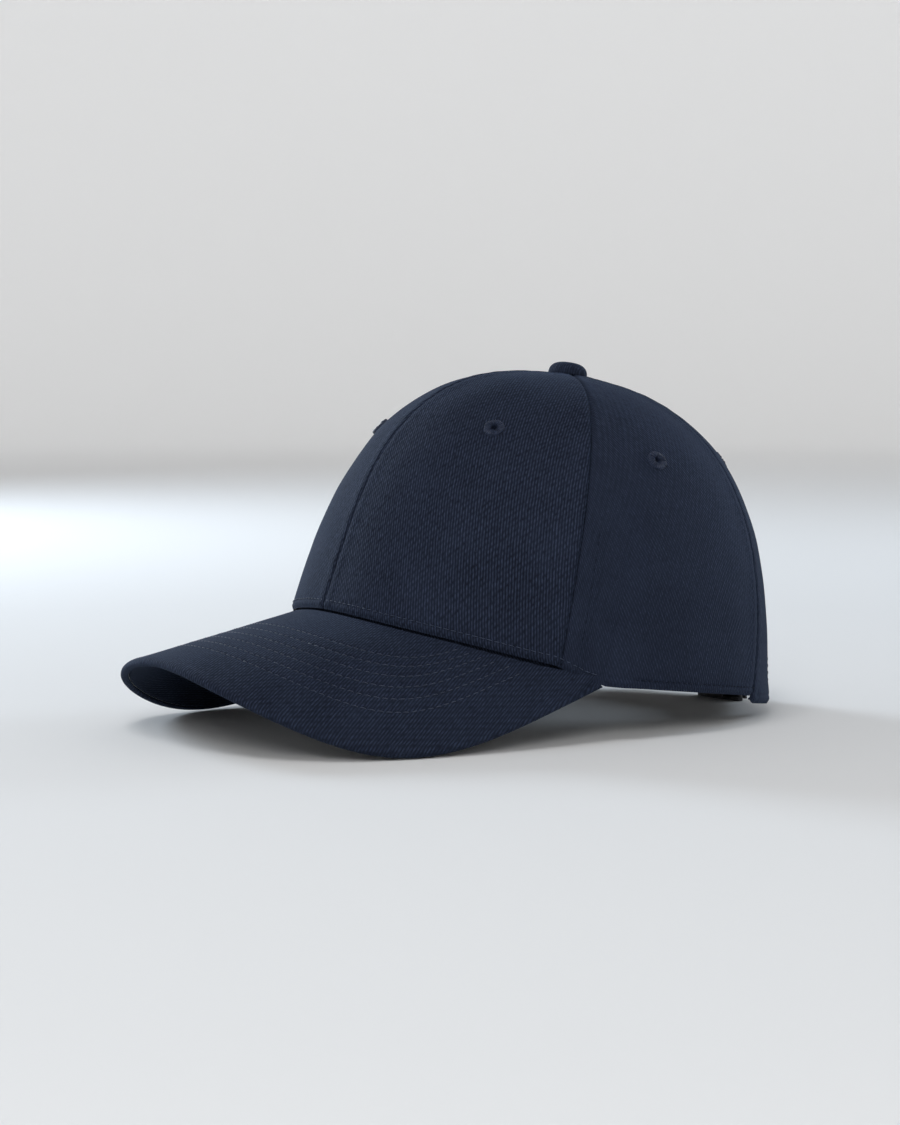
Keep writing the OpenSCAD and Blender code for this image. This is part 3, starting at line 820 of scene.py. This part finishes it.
def evenTurns(amount):
    s = np.concatenate([np.linspace(0, 84, 1500), 90 - 6 * np.linspace(1, 0, 1500)[1:] ** 3])
    s = np.concatenate([-s[:0:-1], s])
    edge = visorEdge(s)
    far = np.concatenate([[0], np.cumsum(np.linalg.norm(np.diff(edge, axis=0), axis=1))])
    return np.interp(np.linspace(0, far[-1], amount), far, s)


def visorRelief(x, y):
    groove = 0 * x
    for k in range(visorCloth["stitchRows"]):
        groove = groove - visorCloth["groove"] * bell(rowOffset(x, y, k), 0, 0.75)
    return groove + 0.1 * ripple(x, y, 46.0, 0.8)


def visorCover(name, side, roll, lining, mat):
    s = evenTurns(visorCloth["columns"])
    a, b = visorInner(s), visorEdge(s)
    length = np.linalg.norm(b - a, axis=-1)
    tight = np.minimum(1, 0.45 * length / roll[0][0])
    taper = (2.1 if side > 0 else 0.3) * smooth(np.abs(s), 88.9, 90)
    rows = visorCloth["rows"]
    outer, inner, flat = [], [], []
    for j in range(rows):
        share = (1 - roll[0][0] * tight / length) * j / rows
        p = a + (b - a) * share[:, None]
        up = side * (visor["halfThick"] + visorRelief(p[:, 0], p[:, 1]) - taper)
        outer.append(onVisor(p[:, 0], p[:, 1], up))
        inner.append(onVisor(p[:, 0], p[:, 1], side * (1.0 - taper) + 0 * up))
        flat.append(visorUV(p[:, 0], p[:, 1]))
    way, low = 0.0, roll[0]
    for (d, up), (e, upIn) in zip(roll, lining):
        way += math.hypot(d - low[0], up - low[1])
        low = (d, up)
        p = b + (a - b) * (d * tight / length)[:, None]
        q = b + (a - b) * (e * tight / length)[:, None]
        drop = taper * max(0.0, up * side) / visor["halfThick"]
        outer.append(onVisor(p[:, 0], p[:, 1], up - side * drop))
        inner.append(onVisor(q[:, 0], q[:, 1], upIn - side * drop))
        last = b + (a - b) * (roll[0][0] * tight / length)[:, None]
        flat.append(visorUV(last[:, 0], last[:, 1]) + unit(b - a) * way * 0.001)
    outer, inner, flat = (np.stack(g, 1) for g in (outer, inner, flat))
    if side < 0:
        outer, inner, flat = outer[::-1], inner[::-1], flat[::-1]
    return clothSheet(name, outer, inner, mat, uv=flat)


standIn(visorCover("visor_top_cloth", 1, topRoll, topLining, finish["visor"]),
        "visor_top_cover")
standIn(visorCover("visor_under_cloth", -1, underRoll, underLining, finish["under"]),
        "visor_under_cover")


def visorRow(k, side):
    s = np.linspace(-89.9, 89.9, 1600)
    wide, far, p, q = rowShape(k)
    x = wide * power(np.sin(np.radians(s)), 2 / p)
    y = -visorCloth["rowBack"] - far * np.cos(np.radians(s)) ** (2 / q)
    th = np.linspace(-75, 75, 400)
    wall = crownPoint(th, hemShare(th, hemUp(th)))
    turn = np.degrees(np.arctan2(x, -(y + 20)))
    wallTurn = np.degrees(np.arctan2(wall[:, 0], -(wall[:, 1] + 20)))
    reach = np.interp(turn, wallTurn, np.hypot(wall[:, 0], wall[:, 1] + 20))
    keep = np.hypot(x, y + 20) > reach + 0.6
    x, y = x[keep], y[keep]
    return onVisor(x, y, side * (visor["halfThick"] - 0.12) + 0 * x), side * visorNormal(x, y)


for name, side, thread in (("visor_stitches_top", 1, "stitch"), ("visor_stitches_under", -1, "seamStitch")):
    rows = [visorRow(k, side) for k in range(visorCloth["stitchRows"])]
    stitches(name, rows, finish[thread], visorCloth["pitch"], visorCloth["stitch"], visorCloth["thread"])
print("visor made")

# topstitching along the seams, the hem and the rear opening
sewing = {"seamPitch": 3.2, "seamLength": 2.5, "hemPitch": 2.7, "hemLength": 2.0, "thread": 0.15}


def besideSeam(seam, side, low, away):
    t = np.linspace(0, 1, 500)
    mid = seam(t) + 0 * t
    start = low(mid)
    t = start + (roundTop(mid, 9.0) - start) * t
    mid = seam(t) + 0 * t
    th = mid + side * np.degrees(away / localRadius(mid, t))
    return crownRun(th, t, 0.0 * t)


def hemLow(extra):
    def low(th):
        return hemShare(th, hemUp(th)) + extra
    return low


def hemRun(fromAngle, toAngle, up):
    th = np.linspace(fromAngle, toAngle, 500)
    t = hemShare(th, hemUp(th))
    rise = np.linalg.norm(crownPoint(th, t + 0.01) - crownPoint(th, t), axis=-1) / 0.01
    return crownRun(th, t + up / rise, 0.02 + 0 * t)


def archRun(scale):
    a = np.radians(np.linspace(2, 178, 400))
    th = 180 - crown["openAngle"] * scale * np.cos(a)
    return crownRun(th, crown["openTop"] * scale * np.sin(a), 0.02 + 0 * th)


away = panel["topstitch"]
seams = [besideSeam(lambda t: 0 * t, 1, hemLow(0.035), away)]
seams += [besideSeam(frontSeamAt, side, hemLow(0.035), away) for side in (-1, 1)]
seams += [besideSeam(rearSeamAt, side, lambda th: 0.035 + 0 * th, away) for side in (-1, 1)]
seams += [besideSeam(lambda t: 180 + 0 * t, -1, lambda th: crown["openTop"] * 1.12 + 0 * th, away)]
stitches("seam_stitches", seams + mirrorRuns(seams), finish["seamStitch"], sewing["seamPitch"],
         sewing["seamLength"], sewing["thread"] - 0.02, proud=0.0)
hems = [hemRun(0.5, 74, panel["hemStitch"]), hemRun(78, 145, panel["hemStitch"])]
stitches("hem_stitches", hems[:1] + mirrorRuns(hems[:1]), finish["hemStitch"], sewing["hemPitch"],
         sewing["hemLength"], sewing["thread"] + 0.02, proud=0.12)
stitches("hem_stitches_rear", hems[1:] + mirrorRuns(hems[1:]) + [archRun(1.1)], finish["seamStitch"],
         sewing["hemPitch"], sewing["hemLength"], sewing["thread"])
print("crown sewn")

# the covered button on top
button = {"width": 15.3, "height": 5.1, "base": 0.25, "cloth": 0.55}


def lathe(name, outline, centre, axis, mat, around=72, closed=False, wave=None, spin=1.0):
    # a ring or dome turned about an axis; wave(turn, n) adds height to each outline point
    first = unit(np.cross(axis, np.array([0.0, 1.0, 0.3])))
    second = np.cross(axis, first)
    turn = np.arange(around) / around * 2 * np.pi
    verts, uvs = [], []
    length = 0.0
    for n, (r, z) in enumerate(outline):
        if n:
            length += math.hypot(r - outline[n - 1][0], z - outline[n - 1][1])
        lift = wave(turn, n) if wave else 0 * turn
        ring = (centre + r * (np.cos(turn)[:, None] * first + np.sin(turn)[:, None] * second)
                + (z + lift)[:, None] * axis)
        verts.append(ring)
        if spin:
            uvs.append(np.stack([turn / 2 / np.pi * spin, turn * 0 + length / 10], -1))
        else:
            uvs.append(np.stack([r * np.cos(turn), r * np.sin(turn)], -1) * 0.001)
    faces = ringFaces(0, len(outline), around, closed)
    return newPiece(name, np.concatenate(verts), faces, np.concatenate(uvs), mat)


lean = math.radians(crown["lean"])
top = crownPoint(0.0, 1.0)
topAxis = np.array([0.0, math.sin(lean), math.cos(lean)])
half = button["width"] / 2
dome = [(0.02, button["base"] + button["height"])]
dome += [(half * math.sin(a) ** 0.72, button["base"] + button["height"] * math.cos(a) ** 0.78)
         for a in np.linspace(0.12, math.pi / 2, 16)]
dome += [(half - 0.15, button["base"] - 0.15), (half - 0.6, button["base"] - 0.2)]
halfIn, highIn = half - button["cloth"], button["height"] - button["cloth"]
dome += [(halfIn * math.sin(a), button["base"] + highIn * math.cos(a))
         for a in np.linspace(math.pi / 2, 0.05, 10)]
buttonCloth = lathe("button_cloth", dome, top, topAxis, finish["button"], spin=0,
                    wave=lambda turn, n: 0.05 * np.sin(turn * 9 + 1) * (8 < n < 18))
standIn(buttonCloth, "button_cover")


def makeEyelet(kind, right):
    shape = eyeletShape
    a, b = eyeletPlace(kind, right)
    centre, axis = crownPoint(a, b), crownNormal(a, b)
    if right:
        centre, axis = centre * [-1, 1, 1], axis * [-1, 1, 1]
    middle, wide = (shape["out"] + shape["hole"]) / 2, (shape["out"] - shape["hole"]) / 2
    over = [(middle + wide * math.cos(q), shape["swell"] + 0.05 + shape["height"] * math.sin(q) ** 0.8)
            for q in np.linspace(0, math.pi, 15)]
    deep, lip = shape["deep"], shape["lip"]
    foot = [(shape["hole"], deep), (shape["shank"], deep), (shape["shank"], lip), (shape["out"], lip)]
    outline = over + foot
    uneven = np.random.default_rng(len(kind) + 3 * right).uniform(0.5, 1.3, shape["strands"])

    def strands(turn, n):
        at = turn / 2 / np.pi * shape["strands"]
        round_ = np.abs(np.sin(np.pi * at)) ** 0.7 * uneven[np.floor(at).astype(int) % shape["strands"]]
        return shape["strand"] * round_ * (0 < n < 14)
    hand = "right" if right else "left"
    piece = lathe(f"{kind}_eyelet_{hand}", outline, centre, axis, finish["eyelet"], shape["strands"] * 6,
                  True, strands, 8.0)
    standIn(piece, f"eyelet_{kind}_{hand}")


for kind in ("front", "side", "rear"):
    for right in (False, True):
        makeEyelet(kind, right)
print("button and eyelets made")

# stiffening, seam tapes, binding and sweatband
lining = {
    "sweatHeight": 32.0,
    "sweatEnd": 142.0,            # how far round the sweatband goes each way, in degrees
    "sweatAt": -3.4,
    "sweatThick": 1.2,
    "sweatRows": (3.2, 29.5),     # heights of its two rows of stitching
    "tapeWidth": 12.0,
    "tapeThick": 0.5,
    "tapeAt": (-2.2, -1.5, -1.85),    # depth of front and side, rear, and back tapes
    "binding": (1.02, 1.13),
    "bindingAt": (-1.35, 0.4),    # depth and thickness
    "stiffening": (-1.25, 0.65),
    "thread": (3.0, 2.3, 0.14),   # pitch, length and radius of a stitch
}


def crownSheet(name, th, t, depth, thick, mat, node, slot, hole=None, mirror=False, relief=0.0):
    outer = onCrown(th, t, depth + relief)
    inner = onCrown(th, t, depth - thick + relief)
    standIn(clothSheet(name, outer, inner, mat, mirror, hole), node)


def makeBuckram(right):
    u, v = np.linspace(0.004, 0.996, 34)[:, None], np.linspace(0, 0.885, 60)[None]
    raw = frontSeamAt(v) * u
    hem = hemShare(raw, visor["halfThick"] + 1.8)
    t = hem + (roundTop(raw, 2.2) - hem) * v
    side = "right" if right else "left"
    spot = (crownPoint(*eyeletPlace("front", right)), crownNormal(*eyeletPlace("front", right)), 2.5)
    crownSheet(f"front_stiffening_{side}", raw, t, *lining["stiffening"], finish["buckram"],
               f"buckram_{side}", "buckram", spot, right)


def makeTape(name, node, seam, depth, low, mirror=False):
    w = np.linspace(0, 1, 90)[None]
    mid = seam(w) + 0 * w
    start = low(mid)
    t = start + (roundTop(mid, 16.0) - start) * w
    mid = seam(t) + 0 * t
    across = np.linspace(-1, 1, 13)[:, None]
    th = mid + across * np.degrees(lining["tapeWidth"] / 2 / localRadius(mid, t))
    t = t + 0 * across
    out = np.abs(across)
    relief = 0.1 * bell(out, 0.25, 0.2) - 0.12 * bell(out, 0.75, 0.1) + 0.04 * ripple(t * 120, th * 0.2, 7.0)
    crownSheet(name, th, t, depth, lining["tapeThick"], finish["tape"], node, "seam_tape", None, mirror,
               relief)
    runs = []
    for side in (-0.75, 0.75):
        line = mid[0] + side * np.degrees(lining["tapeWidth"] / 2 / localRadius(mid[0], t[0]))
        p, n = crownRun(line, t[0], depth - lining["tapeThick"] - 0.02 + 0 * t[0])
        runs.append((p, -n))
    return mirrorRuns(runs) if mirror else runs


def tapeLow(th):
    return hemShare(th, visor["halfThick"] + 1) + 0.02


for right in (False, True):
    makeBuckram(right)
tapeRuns = []
frontDepth, rearDepth, backDepth = lining["tapeAt"]
for name, node, seam, depth, low, mirror in (
        ("front_tape", "seam_tape_front", lambda t: 0 * t, frontDepth, tapeLow, False),
        ("side_tape_left", "seam_tape_side_left", frontSeamAt, frontDepth, tapeLow, False),
        ("side_tape_right", "seam_tape_side_right", frontSeamAt, frontDepth, tapeLow, True),
        ("rear_tape_left", "seam_tape_rear_left", rearSeamAt, rearDepth, lambda th: 0.015 + 0 * th, False),
        ("rear_tape_right", "seam_tape_rear_right", rearSeamAt, rearDepth, lambda th: 0.015 + 0 * th, True),
        ("back_tape", "seam_tape_back", lambda t: 180 + 0 * t, backDepth, lambda th: 0.32 + 0 * th, False)):
    tapeRuns += makeTape(name, node, seam, depth, low, mirror)

a = np.radians(np.linspace(4, 176, 110))[:, None]
k = np.linspace(lining["binding"][1], lining["binding"][0], 9)[None]
crownSheet("opening_tape", 180 - crown["openAngle"] * k * np.cos(a), crown["openTop"] * k * np.sin(a),
           *lining["bindingAt"], finish["tape"], "opening_binding", "seam_tape")

th = np.linspace(-lining["sweatEnd"], lining["sweatEnd"], 240)[:, None]
low = np.maximum(0.005, hemShare(th, -visor["halfThick"]))
high = shareAt(th, wallHeight(th, low) + lining["sweatHeight"])
w = np.concatenate([[0, 0.01, 0.025], np.linspace(0.05, 0.95, 26), [0.975, 0.99, 1]])[None]
t = low + (high - low) * w
pad = 1 - (1 - smooth(w, 0, 0.03)) - (1 - smooth(1 - w, 0, 0.03))
lowRow, highRow = lining["sweatRows"]
highAt = w * lining["sweatHeight"]
sewn = -0.3 * bell(highAt, lowRow, 0.6) - 0.22 * bell(highAt, highRow, 0.6)
soft = 0.1 * ripple(th * 1.4, w * 30, 12.0)
outer = onCrown(th + 0 * w, t, lining["sweatAt"] - 0.35 * (1 - pad) + 0 * w)
inner = onCrown(th + 0 * w, t, lining["sweatAt"] - lining["sweatThick"] + 0.4 * (1 - pad) - sewn + soft)
standIn(clothSheet("sweatband_cloth", outer, inner, finish["sweat"]), "sweatband")
bandRuns = []
for up in lining["sweatRows"]:
    line = th[:, 0]
    share = (low + (high - low) * up / lining["sweatHeight"])[:, 0]
    p, n = crownRun(line, share, lining["sweatAt"] - lining["sweatThick"] + 0.25 + 0 * line)
    bandRuns.append((p, -n))
stitches("inside_stitches", tapeRuns + bandRuns, finish["hemStitch"], *lining["thread"])
print("inside made")

# the strap across the rear opening, and the clasp on it
strap = {
    "rise": 1.34,
    "width": 19.2,
    "thick": 1.2,
    "slant": 0.94,
    "from": 152.0,
    "to": 219.0,
    "thread": (2.9, 2.2, 0.14, 0.05, 0.28),    # pitch, length, radius, height and dip of a stitch
    "loopFrom": 141.0,
    "loopThick": 0.6,
    "loopHalf": 8.8,
    "barRadius": 0.8,
}
clasp = {"bar": (13.5, -2.2), "bevel": 0.00022}


def strapShare(th, w):
    return shareAt(th, hemRise(th) + strap["rise"] + strap["width"] / 2 + w * strap["slant"])


def strapDepth(th):
    ease = (1 - np.cos(np.pi * np.clip((184 - th) / 16, 0, 1))) / 2
    return -2.6 + 0.1 * np.maximum(0, th - 186) / (strap["to"] - 186) - 1.2 * ease


th = np.linspace(strap["from"], strap["to"], 170)[:, None]
w = np.concatenate([[-1, -0.985, -0.95], np.linspace(-0.88, 0.88, 20), [0.95, 0.985, 1]])[None]
thin = 1 - 0.75 * smooth(np.abs(w), 0.93, 1.0) - 0.14 * bell(np.abs(w), 0.8, 0.05)
share = strapShare(th, w * strap["width"] / 2)
mid = strapDepth(th) + 0 * w
outer = onCrown(th + 0 * w, share, mid + strap["thick"] / 2 * thin)
inner = onCrown(th + 0 * w, share, mid - strap["thick"] / 2 * thin)
standIn(clothSheet("strap_cloth", outer, inner, finish["strap"]), "strap")
strapRuns = []
for side in (-0.8, 0.8):
    line = th[:, 0]
    row = strapShare(line, side * strap["width"] / 2)
    for face in (1, -1):
        p, n = crownRun(line, row, strapDepth(line) + face * (strap["thick"] / 2 * 0.88))
        strapRuns.append((p, face * n))
stitches("strap_stitches", strapRuns, finish["seamStitch"], *strap["thread"])

# the loop of cloth that holds the clasp goes round its bar and back
claspShare = strapShare(np.array(180.0), 0.0)
claspAt = crownPoint(180.0, claspShare)
claspLean = math.asin(crownNormal(180.0, claspShare)[2])
bend = strap["barRadius"] + 0.1 + strap["loopThick"] / 2
barAngle = 180 - math.degrees(math.asin(clasp["bar"][0] / crown["halfWidth"]))


def claspPoint(x, y, z):
    c, s = math.cos(claspLean), math.sin(claspLean)
    return claspAt + np.stack([x + 0 * z, y * c - z * s, y * s + z * c], -1)


def loopLeg(th, w, side, face):
    e = (1 - np.cos(np.pi * np.clip((th - strap["loopFrom"] - 6) / 20, 0, 1))) / 2
    depth = (1 - e) * (-2.55 + side * 0.33) + e * (clasp["bar"][1] + 1.25 + side * bend)
    return onCrown(th, strapShare(th, w), depth + face * side * strap["loopThick"] / 2 + 0 * w)


w = np.linspace(-1, 1, 15) * strap["loopHalf"]
legs = np.linspace(strap["loopFrom"], barAngle - 1.5, 60)
grids = []
for face in (1, -1):
    rows = [loopLeg(q + 0 * w, w, 1, face) for q in legs]
    for turn in np.linspace(0, math.pi, 13):
        r = bend + face * strap["loopThick"] / 2
        rows.append(claspPoint(clasp["bar"][0] - r * math.sin(turn), clasp["bar"][1] + r * math.cos(turn), w))
    rows += [loopLeg(q + 0 * w, w, -1, face) for q in legs[::-1]]
    grids.append(np.stack(rows))
standIn(clothSheet("clasp_loop_cloth", grids[0], grids[1], finish["strap"]), "clasp_loop")

# the clasp: the library's own solids, copied and given rounded edges
for node, body in (("clasp_frame", "cap"), ("clasp_lever", "clasp_lever")):
    source = nodes[node]
    piece = bpy.data.objects.new(node.replace("clasp_", "clasp_metal_"), source.data.copy())
    bpy.context.scene.collection.objects.link(piece)
    piece.matrix_world = source.matrix_world.copy()
    round_ = piece.modifiers.new("rounding", "BEVEL")
    round_.width = clasp["bevel"]
    round_.segments = 3
    round_.limit_method = "ANGLE"
    piece.data.polygons.foreach_set("use_smooth", np.ones(len(piece.data.polygons), dtype=bool))
    piece.data.set_sharp_from_angle(angle=math.radians(35))
    piece.data.materials.clear()
    piece.data.materials.append(finish["clasp"])
    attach(piece, body)
    standIn(piece, node)

for node, mat in (("visor_board", "board"), ("button_shell", "buttonMetal"), ("button_rivet", "buttonMetal"),
                  ("button_washer", "buttonMetal"), ("clasp_pin", "clasp")):
    nodes[node].data.materials.clear()
    nodes[node].data.materials.append(finish[mat])
print("strap and clasp made")
# the camera, at the height and side that the cap is usually shown from

view = {"azimuth": 57.26, "elevation": 4.473, "distance": 1.1, "lens": 90.18, "aside": -0.0312,
        "height": 0.0595}
a, e = math.radians(view["azimuth"]), math.radians(view["elevation"])
cameraData = bpy.data.cameras.new("camera")
cameraData.lens = view["lens"]
cameraData.sensor_width = 36.0
cameraData.clip_start, cameraData.clip_end = 0.05, 50
camera = bpy.data.objects.new("camera", cameraData)
bpy.context.scene.collection.objects.link(camera)
back = (math.sin(a) * math.cos(e), -math.cos(a) * math.cos(e), math.sin(e))
aim = (math.cos(a) * view["aside"], math.sin(a) * view["aside"] + place[1] * 0.001, view["height"])
camera.location = [p + view["distance"] * q for p, q in zip(aim, back)]
camera.rotation_euler = (math.pi / 2 - e, 0, a)
bpy.context.scene.camera = camera

# floor and light
studio = {"floor": (0.7, 0.7, 0.7, 1), "world": 0.25, "reach": 3.0, "bend": 1.2, "glow": 0.24}


def makeFloor():
    # one sheet that runs flat under the cap and bends up all round it, far away
    f = Finish("floor")
    far = f.node("ShaderNodeVectorMath", operation="LENGTH")
    f.join(f.place(), far.inputs[0])
    # painted light: the far floor and the wall are made lighter and glow more the further out they are, to
    # keep them as bright as the floor under the cap
    rise = f.ramp(far.outputs["Value"], 0.5, 3.9)
    f.join(f.mix(rise, studio["floor"], (0.9, 0.9, 0.9, 1)), f.bsdf.inputs["Base Color"])
    f.join(f.math("MULTIPLY", rise, studio["glow"]), f.bsdf.inputs["Emission Strength"])
    f.shine(**{"Roughness": 0.9, "Specular IOR Level": 0.1, "Emission Color": (1, 1, 1, 1)})
    rings, sides = 40, 96
    verts, faces = [(0, 0, 0)], []
    for r in range(1, rings + 1):
        q = r / rings
        flat = min(q, 0.6) / 0.6 * studio["reach"]
        up = max(0, q - 0.6) / 0.4
        out = flat + studio["bend"] * math.sin(up * math.pi / 2)
        z = studio["bend"] * (1 - math.cos(up * math.pi / 2)) * 2.2
        for s in range(sides):
            turn = 2 * math.pi * s / sides
            verts.append((out * math.cos(turn), out * math.sin(turn), z))
    for s in range(sides):
        faces.append((0, 1 + s, 1 + (s + 1) % sides))
    for r in range(rings - 1):
        for s in range(sides):
            a0, b0 = 1 + r * sides + s, 1 + r * sides + (s + 1) % sides
            faces.append((a0, a0 + sides, b0 + sides, b0))
    mesh = bpy.data.meshes.new("floor")
    mesh.from_pydata(verts, [], faces)
    mesh.polygons.foreach_set("use_smooth", np.ones(len(mesh.polygons), dtype=bool))
    mesh.materials.append(f.mat)
    floor = bpy.data.objects.new("floor", mesh)
    bpy.context.scene.collection.objects.link(floor)


def softLight(name, power, size, azimuth, elevation, distance, colour=(1, 1, 1)):
    data = bpy.data.lights.new(name, "AREA")
    data.shape = "DISK"
    data.size = size
    data.energy = power
    data.color = colour
    lamp = bpy.data.objects.new(name, data)
    bpy.context.scene.collection.objects.link(lamp)
    a0, e0 = math.radians(azimuth), math.radians(elevation)
    away = (math.sin(a0) * math.cos(e0), -math.cos(a0) * math.cos(e0), math.sin(e0))
    lamp.location = [p * distance + q for p, q in zip(away, (0, 0, 0.05))]
    lamp.rotation_euler = (math.pi / 2 - e0, 0, a0)


makeFloor()
world = bpy.data.worlds.new("studio")
bpy.context.scene.world = world
world.use_nodes = True
world.node_tree.nodes["Background"].inputs[0].default_value = (1.0, 1.0, 1.0, 1)
world.node_tree.nodes["Background"].inputs[1].default_value = studio["world"]
softLight("low_front", 15, 0.8, 54, 27, 2.2)
softLight("key", 11.5, 0.8, 34, 64, 2.0)
softLight("left_back", 20, 0.5, -80, 20, 1.7, (0.76, 0.88, 1.0))
softLight("right_back", 6, 0.5, 178, 22, 1.6, (0.75, 0.87, 1.0))
bpy.context.scene.view_settings.view_transform = "Standard"
